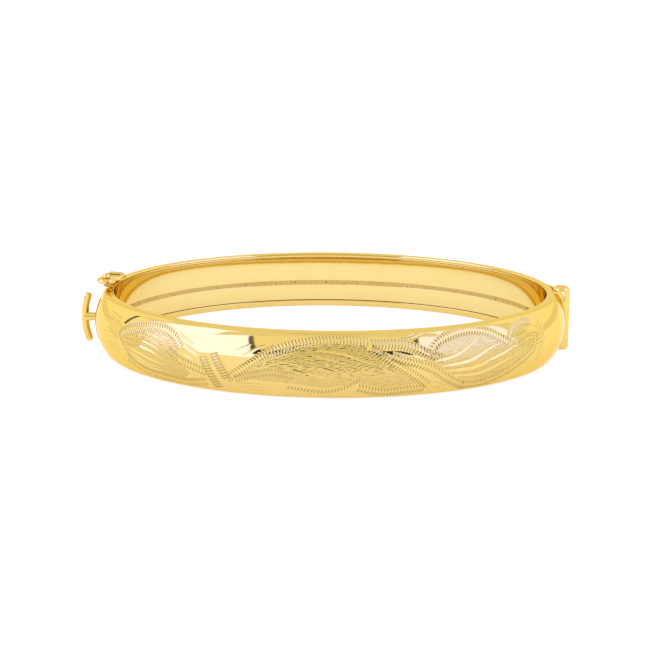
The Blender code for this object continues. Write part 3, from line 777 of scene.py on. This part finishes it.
def make_linings():
    """Two strips round the inside of each half, with the solder of their seam between them."""
    for half, first, last in (
        ("front", CLASP_ARC + LINER_START, HINGE_ARC - LINER_START),
        ("back", HINGE_ARC + LINER_START, BACK_CLASP_ARC - LINER_START),
    ):
        body = half + "_half"
        back = LINER_FACE - LINER_WALL
        for level, low, high in (
            ("upper", SEAM_HIGH, HEIGHT - UPPER_LIP - CLEARANCE),
            ("lower", LOWER_LIP + CLEARANCE, SEAM_LOW),
        ):
            section = rounded_box(back, LINER_FACE, low, high, LINER_ROUND)
            swept_strip(
                half + "_lining_" + level, section, first, last, LINER_STEPS,
                body, "lining_gold", half + "_liner_" + level,
            )
        face = np.linspace(SEAM_HIGH + CLEARANCE, SEAM_LOW - CLEARANCE, 9)
        low, high = SEAM_LOW - SEAM_LAP, SEAM_HIGH + SEAM_LAP
        section = [(back - 0.1, low), (back - 0.1, high), (back - 0.02, high)]
        section += [(LINER_FACE - SEAM_SUNK, z) for z in face] + [(back - 0.02, low)]
        swept_strip(
            half + "_solder_seam", section, first, last, SEAM_STEPS,
            body, "seam_solder", half + "_seam_strip", solder_wave,
        )


def solder_wave(depth, height, arcs):
    """Solder lies in soft ripples with a few small pits."""
    face = depth > LINER_FACE - 2 * SEAM_SUNK
    ripple = 0.02 * np.sin(3.1 * arcs) + 0.014 * np.sin(7.7 * arcs + 3 * height) + 0.01 * np.sin(17 * arcs)
    pits = np.zeros_like(depth)
    for k in range(26):
        arc = arcs[0] + (arcs[-1] - arcs[0]) * ((k * 0.6180339) % 1.0)
        z = SEAM_LOW + 0.08 + 0.4 * ((k * 0.7548776) % 1.0)
        pits += 0.12 * np.exp(-((arcs - arc) ** 2 + (height - z) ** 2) / 0.008)
    return depth + np.where(face, ripple - pits, 0.0), height


def turned(profile, sides, place):
    """Points and faces of a solid turned about local Z from (radius, height) pairs."""
    turns = np.linspace(0.0, 2 * math.pi, sides, endpoint=False)
    points = [(0.0, 0.0, profile[0][1])]
    for radius, height in profile:
        points += [(radius * math.cos(a), radius * math.sin(a), height) for a in turns]
    points.append((0.0, 0.0, profile[-1][1]))
    faces = []
    for k in range(sides):
        n = (k + 1) % sides
        faces.append([0, 1 + n, 1 + k])
        for ring in range(len(profile) - 1):
            a = 1 + ring * sides
            faces.append([a + k, a + n, a + sides + n, a + sides + k])
        last = 1 + (len(profile) - 1) * sides
        faces.append([last + k, last + n, len(points) - 1])
    return np.array([place @ Vector(p) for p in points]), faces


def rounded_rod(radius, low, high, low_round, high_round, count=6):
    """Profile of a rod with rounded ends, bottom to top."""
    profile = []
    for a in np.linspace(0.0, math.pi / 2, count):
        profile.append((radius - low_round * (1 - math.sin(a)), low + low_round * (1 - math.cos(a))))
    for a in np.linspace(0.0, math.pi / 2, count):
        profile.append((radius - high_round * (1 - math.cos(a)), high - high_round * (1 - math.sin(a))))
    return profile


KNUCKLE_ROUND = 0.05
BARREL_FOOT_ROUND = 0.25
BARREL_TOP_ROUND = 0.6
BARREL_BORE = 0.48
AXLE_RADIUS = 0.42
LUG_INSIDE = 1.02  # from the hinge axis to the lugs, across the band and along it
LUG_ASIDE = 0.29
LUG_HALF = (0.42, 0.2)
LUG_MARGIN = 0.15  # from a lug to the ends of its knuckle
LUG_LOW = 1.75
LUG_HIGH = 6.25


def make_hinge():
    """Barrel of three knuckles, rounded at both ends, each with its lug, on a straight axle."""
    place = Matrix.Translation((HINGE_X, 0.0, 0.0))
    for part, side, half, below, above in (
        ("bottom", 1, "back", BARREL_FOOT_ROUND, KNUCKLE_ROUND),
        ("middle", -1, "front", KNUCKLE_ROUND, KNUCKLE_ROUND),
        ("top", 1, "back", KNUCKLE_ROUND, BARREL_TOP_ROUND),
    ):
        node = "hinge_knuckle_" + part
        low, high = node_box(node)
        outside = rounded_rod(high.x - HINGE_X, low.z, high.z, below, above, 9)
        profile = [(BARREL_BORE, low.z)] + outside + [(BARREL_BORE, high.z)]
        points, faces = tube(profile, 72, place)
        lug = Matrix.Translation((HINGE_X - LUG_INSIDE, side * LUG_ASIDE, 0.0))
        lug_low, lug_high = max(low.z + LUG_MARGIN, LUG_LOW), min(high.z - LUG_MARGIN, LUG_HIGH)
        points, faces = with_block(points, faces, lug, LUG_HALF, lug_low, lug_high)
        add_piece("barrel_" + part, points, faces, half + "_half", "polished_gold", node)
    low, high = node_box("hinge_pin")
    points, faces = turned(rounded_rod(AXLE_RADIUS, low.z, high.z, 0.08, 0.1), 40, place)
    add_piece("hinge_axle", points, faces, "back_half", "pin_gold", "hinge_pin")


SHOULDER_RADIUS = NOTCH_RADIUS - 0.03  # of the hollow round the barrel
SHOULDER_WALL = 0.12
SHOULDER_REACH = 3.4  # along the band, from the split
SHOULDER_CORNER = 0.45  # place along that stretch where the outline begins to turn outwards
SHOULDER_TURNS = (35, 140)  # degrees round the barrel from its outermost line
SHOULDER_ROUND = 0.3
SHOULDER_MARGIN = 0.02  # from the shoulders to the planes of the rims
SHOULDER_ROOT = 0.4  # how far the shoulders reach into the shell's wall


def make_shoulders():
    """Each half's end swells out to the barrel and is hollowed, so that it can turn round it."""
    axis = np.array((HINGE_X, 0.0))
    first, last = np.radians(SHOULDER_TURNS)
    turns = np.linspace(first, last, 22)
    low = shoulder_levels(SHOULDER_MARGIN, SHOULDER_ROUND)
    high = shoulder_levels(HEIGHT - SHOULDER_MARGIN, -SHOULDER_ROUND)
    levels = low + high[-2::-1]
    for half, side, slot in (("front", -1, "engraved_gold"), ("back", 1, "polished_gold")):
        hollow = axis + SHOULDER_RADIUS * np.stack((np.cos(turns), side * np.sin(turns)), axis=-1)
        lip = axis + (SHOULDER_RADIUS + SHOULDER_WALL) * np.array((math.cos(first), side * math.sin(first)))
        root = HINGE_ARC + side * SHOULDER_REACH
        corner = HINGE_ARC + side * SHOULDER_REACH * SHOULDER_CORNER
        points = []
        for z, inset in levels:
            depth = dome_depth(z) + 0.01
            outside = bend(ring_xy(root, depth), ring_xy(corner, depth), lip, 14)
            outside[:, 0] -= inset * np.linspace(0.0, 1.0, len(outside))
            around = hollow.copy()
            around[:, 0] = np.minimum(around[:, 0], outside[-1, 0])
            outline = np.vstack((outside, around, ring_xy(root, depth + SHOULDER_ROOT)))
            points += [(x, y, z) for x, y in outline]
        count = len(outline)
        faces = ring_faces(count, len(levels))
        faces += [list(range(count)), list(range(len(points) - count, len(points)))]
        add_piece(half + "_hinge_shoulder", points, faces, half + "_half", slot)


def shoulder_levels(end, rounding):
    """Heights from an end to the middle, each with how far the rounded edge draws the surface in."""
    levels = []
    for a in np.linspace(0.0, math.pi / 2, 6):
        levels.append((end + rounding * (1 - math.cos(a)), abs(rounding) * (1 - math.sin(a))))
    return levels + [(z, 0.0) for z in np.linspace(levels[-1][0], MIDDLE, 12)[1:]]


def ring_faces(sides, rings, closed=False):
    """Faces between rings of points, and from the last ring to the first if they close up."""
    faces = []
    for ring in range(rings if closed else rings - 1):
        a, b = ring * sides, (ring + 1) % rings * sides
        for k in range(sides):
            n = (k + 1) % sides
            faces.append([a + k, a + n, b + n, b + k])
    return faces


def with_block(points, faces, place, half, low, high):
    """Adds a foot or lug: a block of half sizes in local X and Y, from low to high in Z."""
    x, y = half
    plan = ((-x, -y), (x, -y), (x, y), (-x, y))
    block = np.array([place @ Vector((*corner, z)) for z in (low, high) for corner in plan])
    start = len(points)
    sides = [(0, 1, 5, 4), (1, 2, 6, 5), (2, 3, 7, 6), (3, 0, 4, 7), (3, 2, 1, 0), (4, 5, 6, 7)]
    return np.concatenate((points, block)), faces + [[start + corner for corner in side] for side in sides]


def tube(profile, sides, place):
    """Points and faces of a closed section turned about local Z, such as a bored rod."""
    turns = np.linspace(0.0, 2 * math.pi, sides, endpoint=False)
    points = [place @ Vector((r * math.cos(a), r * math.sin(a), z)) for r, z in profile for a in turns]
    return np.array(points), ring_faces(sides, len(profile), closed=True)


def wire(path, radii, normal, sides=20, closed=False):
    """Points and faces of a round wire through a path; normal lies across every stretch of it."""
    count = len(path)
    points = []
    for i, spot in enumerate(path):
        ahead = path[(i + 1) % count] if closed or i + 1 < count else spot
        behind = path[i - 1] if closed or i > 0 else spot
        along = (ahead - behind).normalized()
        side = along.cross(normal).normalized()
        for k in range(sides):
            turn = 2 * math.pi * k / sides
            points.append(spot + (side * math.cos(turn) + normal * math.sin(turn)) * radii[i])
    faces = ring_faces(sides, count, closed)
    if not closed:
        faces += [list(range(sides)), list(range((count - 1) * sides, count * sides))]
    return np.array(points), faces


POST_FLARE = 0.16
BAR_TIP = 0.8  # length of the bar's rounded ends, as a share of its radius


def make_push_piece():
    """Bowed bar on its post, which flares where they join."""
    low, high = node_box("push_bar")
    radius = (high.y - low.y) / 2
    bow = high.x - low.x - 2 * radius
    reach = (high.z - low.z) / 2 - radius
    bend_radius = (reach**2 + bow**2) / (2 * bow)
    span = math.asin(reach / bend_radius)
    middle = Vector((low.x + radius + bend_radius, POST_Y, POST_Z))
    turns = span * np.linspace(-1.0, 1.0, 49)
    path = [middle + Vector((-math.cos(t), 0.0, math.sin(t))) * bend_radius for t in turns]
    radii = [radius] * len(path)
    for _ in range(2):  # the first reversal leads to the foot, the second back to the top
        path.reverse()
        radii.reverse()
        tip = path[-1]
        heading = (tip - path[-2]).normalized()
        for a in np.linspace(0.0, math.pi / 2, 9)[1:]:
            path.append(tip + heading * radius * BAR_TIP * math.sin(a))
            radii.append(max(radius * math.cos(a) ** 0.6, 0.02))
    points, faces = wire(path, radii, Vector((0.0, 1.0, 0.0)), sides=28)
    add_piece("push_bar_smooth", points, faces, "push_piece", "polished_gold", "push_bar")
    start = low.x + radius
    stop = POST_HIGH.x
    profile = [(POST_RADIUS + POST_FLARE, start), (POST_RADIUS + POST_FLARE * 0.4, start + radius * 0.95)]
    profile += [(POST_RADIUS, start + radius + 0.2), (POST_RADIUS, stop - 0.05), (POST_RADIUS - 0.05, stop)]
    sideways = Matrix.Translation((0.0, POST_Y, POST_Z)) @ Matrix.Rotation(math.pi / 2, 4, "Y")
    points, faces = turned(profile, 40, sideways)
    add_piece("push_post_smooth", points, faces, "push_piece", "polished_gold", "push_post")


BALL_LOW, BALL_HIGH = node_box("safety_ball")
BALL_RADIUS = (BALL_HIGH.x - BALL_LOW.x) / 2
SHANK_RADIUS = 0.28
STUD_FOOT = [(0.5, 0.0), (0.5, 0.06), (0.36, 0.14), (SHANK_RADIUS, 0.22)]  # radius, height
UP = Vector((0.0, 0.0, 1.0))
SWING_AXIS = Vector(JOINTS["safety_swing"]["axis"]).normalized()
SWING_SPOT = Vector(JOINTS["safety_swing"]["pos_m"]) / MM
WIRE_RADIUS = 0.32
RING_RADIUS = 1.0
LOOP_HALF = 1.2
LOOP_CORNER = 0.32
TUBE_HALF = 0.82
TUBE_BORE = 0.36
TUBE_RADIUS = 0.48
TUBE_EDGE = 0.06
TUBE_FOOT_HALF = (TUBE_HALF - 0.08, 0.42)


def make_ball_stud():
    """Ball on a short shank with a spread foot."""
    middle = (BALL_LOW + BALL_HIGH) / 2
    first = math.asin(SHANK_RADIUS / BALL_RADIUS)
    profile = [(radius, BALL_LOW.z + height) for radius, height in STUD_FOOT]
    for a in np.linspace(first, math.pi - 0.05, 22):
        profile.append((BALL_RADIUS * math.sin(a), BALL_HIGH.z - BALL_RADIUS * (1 + math.cos(a))))
    points, faces = turned(profile, 48, Matrix.Translation((middle.x, middle.y, 0.0)))
    add_piece("ball_stud", points, faces, "front_half", "polished_gold", "safety_ball")


def make_eight():
    """The catch's wire: a ring round the ball and a loop that swings in the rim tube."""
    middle = (BALL_LOW + BALL_HIGH) / 2
    ball_spot = Vector((middle.x, middle.y, SWING_SPOT.z))
    reach = (SWING_SPOT - ball_spot).length
    back = (SWING_SPOT - ball_spot).normalized()
    side = back.cross(UP)
    ring = []
    for a in np.linspace(0.0, 2 * math.pi, 56, endpoint=False):
        ring.append(ball_spot + (side * math.sin(a) + back * math.cos(a)) * RING_RADIUS)
    points, faces = wire(ring, [WIRE_RADIUS] * len(ring), UP, closed=True)
    add_piece("eight_ring", points, faces, "safety_catch", "polished_gold", "safety_eight")
    corner = LOOP_CORNER
    loop = []
    for a in np.linspace(0.0, math.pi / 2, 7):
        loop.append((LOOP_HALF - corner + corner * math.sin(a), -corner + corner * math.cos(a)))
    for a in np.linspace(0.0, math.pi, 29):
        loop.append((LOOP_HALF * math.cos(a), LOOP_HALF - reach + RING_RADIUS - LOOP_HALF * math.sin(a)))
    for a in np.linspace(0.0, math.pi / 2, 7):
        loop.append((corner - LOOP_HALF - corner * math.cos(a), -corner + corner * math.sin(a)))
    path = [SWING_SPOT + side * x + back * y for x, y in loop]
    points, faces = wire(path, [WIRE_RADIUS] * len(path), UP, closed=True)
    add_piece("eight_loop", points, faces, "safety_catch", "polished_gold")


def make_rim_tube():
    """Short bored tube on a foot, in which the catch's wire swings."""
    edge = TUBE_RADIUS - TUBE_EDGE
    profile = [(TUBE_BORE, -TUBE_HALF), (edge, -TUBE_HALF), (TUBE_RADIUS, TUBE_EDGE - TUBE_HALF)]
    profile += [(TUBE_RADIUS, TUBE_HALF - TUBE_EDGE), (edge, TUBE_HALF), (TUBE_BORE, TUBE_HALF)]
    turn = SWING_AXIS.to_track_quat("Z", "Y").to_matrix().to_4x4()
    points, faces = tube(profile, 48, Matrix.Translation(SWING_SPOT) @ turn)
    heading = Matrix.Rotation(math.atan2(SWING_AXIS.y, SWING_AXIS.x), 4, "Z")
    foot = Matrix.Translation((SWING_SPOT.x, SWING_SPOT.y, 0.0)) @ heading
    foot_low = node_box("safety_tube")[0].z
    foot_high = SWING_SPOT.z - TUBE_BORE - 0.02
    points, faces = with_block(points, faces, foot, TUBE_FOOT_HALF, foot_low, foot_high)
    add_piece("rim_tube", points, faces, "back_half", "polished_gold", "safety_tube")


# Studio. The camera stands off the middle of the band, in millimetres and degrees.
FLOOR_REACH = 3.0  # metres
FLOOR_GREY = 0.6
FLOOR_GLOW = 0.6
CAMERA_SPOT = (RING_X - 0.65, -195.45, 49.69)
CAMERA_LENS = 83.59
CAMERA_PITCH = 13.484
CAMERA_ROLL = 0.458

SKY = 1.04
BRIGHT = 1.3  # panels above this level are lit by the cooler side lamps
PANEL_HUE = (0.9, 1.03, 2.5)
WALL_CENTRE = 0.05  # the front wall's panels are set a little to the right
WALL_SPLAY = 0.26  # and their upright edges lean outwards
# Light on a flat wall in front: left, right, foot and top, softness, radiance
WALL_PANELS = [
    (-0.56, 0.56, 0.0, 1.5, 0.03, 1.16),
    (-1.9, -0.6, 0.02, 1.5, 0.03, 1.75),
    (0.6, 1.9, 0.02, 1.5, 0.03, 1.5),
]
# Dark gaps between the panels: the same places, share of the light lost
WALL_SHADES = [
    (-0.61, -0.54, 0.4, 1.42, 0.015, 0.85),
    (0.54, 0.61, 0.7, 1.42, 0.015, 0.85),
    (-0.62, 0.6, 0.2, 0.42, 0.02, 0.96),
]
# Light round the sides and back: azimuths, elevations and softness in degrees, radiance
ROUND_PANELS = [
    (-92, -58, 3, 60, 2, 1.75),
    (58, 92, 3, 60, 2, 1.5),
    (-150, -100, 5, 50, 4, 1.28),
    (100, 150, 5, 50, 4, 1.28),
]
# A dark strip at the left and the dimmer sky overhead: the same places, share of the light lost
ROUND_SHADES = [
    (-111.2, -109, 10, 45, 0.5, 0.9),
    (-190, 190, 80, 100, 4, 0.2),
]


def add_floor(scene):
    """Plain pale floor under the bangle."""
    mesh = bpy.data.meshes.new("floor")
    corners = [(-1, -1), (1, -1), (1, 1), (-1, 1)]
    mesh.from_pydata([(x * FLOOR_REACH, y * FLOOR_REACH, 0) for x, y in corners], [], [(0, 1, 2, 3)])
    floor = bpy.data.objects.new("floor", mesh)
    scene.collection.objects.link(floor)
    material, _, shader = new_material("pale floor")
    shader.inputs["Base Color"].default_value = (FLOOR_GREY, FLOOR_GREY, FLOOR_GREY, 1.0)
    shader.inputs["Emission Color"].default_value = (1.0, 1.0, 1.0, 1.0)
    shader.inputs["Emission Strength"].default_value = FLOOR_GLOW
    shader.inputs["Roughness"].default_value = 1.0
    shader.inputs["Specular IOR Level"].default_value = 0.0
    mesh.materials.append(material)


def add_camera(scene):
    """The camera, looking down on the bangle's front from a little way off."""
    data = bpy.data.cameras.new("camera")
    data.sensor_width = 36.0
    data.lens = CAMERA_LENS
    camera = bpy.data.objects.new("camera", data)
    camera.location = Vector(CAMERA_SPOT) * MM
    pitch = math.radians(CAMERA_PITCH)
    roll = math.radians(CAMERA_ROLL)
    camera.rotation_mode = "QUATERNION"
    aim = Vector((0.0, math.cos(pitch), -math.sin(pitch)))
    camera.rotation_quaternion = aim.to_track_quat("-Z", "Y") @ Matrix.Rotation(roll, 4, "Z").to_quaternion()
    scene.collection.objects.link(camera)
    scene.camera = camera


def band(tree, value, low, high, soft):
    """One between two values and zero outside them, with soft edges."""
    offset = math_node(tree, "ABSOLUTE", math_node(tree, "SUBTRACT", value, (low + high) / 2))
    inside = math_node(tree, "SUBTRACT", (high - low) / 2, offset)
    step = math_node(tree, "ADD", math_node(tree, "DIVIDE", inside, soft), 0.5)
    step.node.use_clamp = True
    return step


def patch_mask(tree, across, upright, patch):
    """One inside a patch of light given by its sides, foot, top and softness, and zero outside it."""
    left, right, foot, top, soft = patch
    sides = band(tree, across, left, right, soft)
    return math_node(tree, "MULTIPLY", sides, band(tree, upright, foot, top, soft))


def light_masks(tree, wall, around, wall_patches, round_patches):
    """Masks of patches on the front wall and round the sides, each with its last value."""
    found = []
    for *patch, value in wall_patches:
        found.append((patch_mask(tree, *wall, patch), value))
    for *patch, value in round_patches:
        found.append((patch_mask(tree, *around, [math.radians(v) for v in patch]), value))
    return found


def light_world(scene):
    """Soft light all round, brighter panels in front and to the sides, and dark gaps between them."""
    world = bpy.data.worlds.new("studio")
    scene.world = world
    world.use_nodes = True
    tree = world.node_tree
    background = tree.nodes["Background"]
    place = tree.nodes.new("ShaderNodeTexCoord")
    parts = tree.nodes.new("ShaderNodeSeparateXYZ")
    tree.links.new(place.outputs["Generated"], parts.inputs[0])
    x, y, z = parts.outputs
    front = math_node(tree, "MULTIPLY", y, -1.0)
    around = math_node(tree, "ARCTAN2", x, front), math_node(tree, "ARCSINE", z)
    ahead = math_node(tree, "MAXIMUM", front, 0.02)
    wall_x = math_node(tree, "SUBTRACT", math_node(tree, "DIVIDE", x, ahead), WALL_CENTRE)
    wall_z = math_node(tree, "DIVIDE", z, ahead)
    widening = math_node(tree, "MULTIPLY", math_node(tree, "SIGN", wall_x), WALL_SPLAY)
    wall = math_node(tree, "SUBTRACT", wall_x, math_node(tree, "MULTIPLY", widening, wall_z)), wall_z
    total = SKY
    glow = 0.0
    for mask, level in light_masks(tree, wall, around, WALL_PANELS, ROUND_PANELS):
        total = math_node(tree, "MAXIMUM", math_node(tree, "MULTIPLY", mask, level), total)
        if level > BRIGHT:
            glow = math_node(tree, "MAXIMUM", mask, glow)
    for mask, share in light_masks(tree, wall, around, WALL_SHADES, ROUND_SHADES):
        left = math_node(tree, "SUBTRACT", 1.0, math_node(tree, "MULTIPLY", mask, share))
        total = math_node(tree, "MULTIPLY", total, left)
    hue = tone_mix(tree, glow, (1.0, 1.0, 1.0), PANEL_HUE)
    tree.links.new(hue, background.inputs["Color"])
    tree.links.new(total, background.inputs["Strength"])


def paint_frame():
    """Gives the frame's own parts the same finishes, for those that are shown as packed."""
    for part in frame["record"]["subparts"]:
        materials = frame["nodes"][part["node"]].data.materials
        for index in range(len(materials)):
            materials[index] = FINISHES[part["material_slot"]]


make_shells()
make_linings()
make_hinge()
make_shoulders()
make_push_piece()
make_ball_stud()
make_eight()
make_rim_tube()
paint_frame()
add_floor(bpy.context.scene)
light_world(bpy.context.scene)
add_camera(bpy.context.scene)
bpy.context.scene.view_settings.view_transform = "Standard"
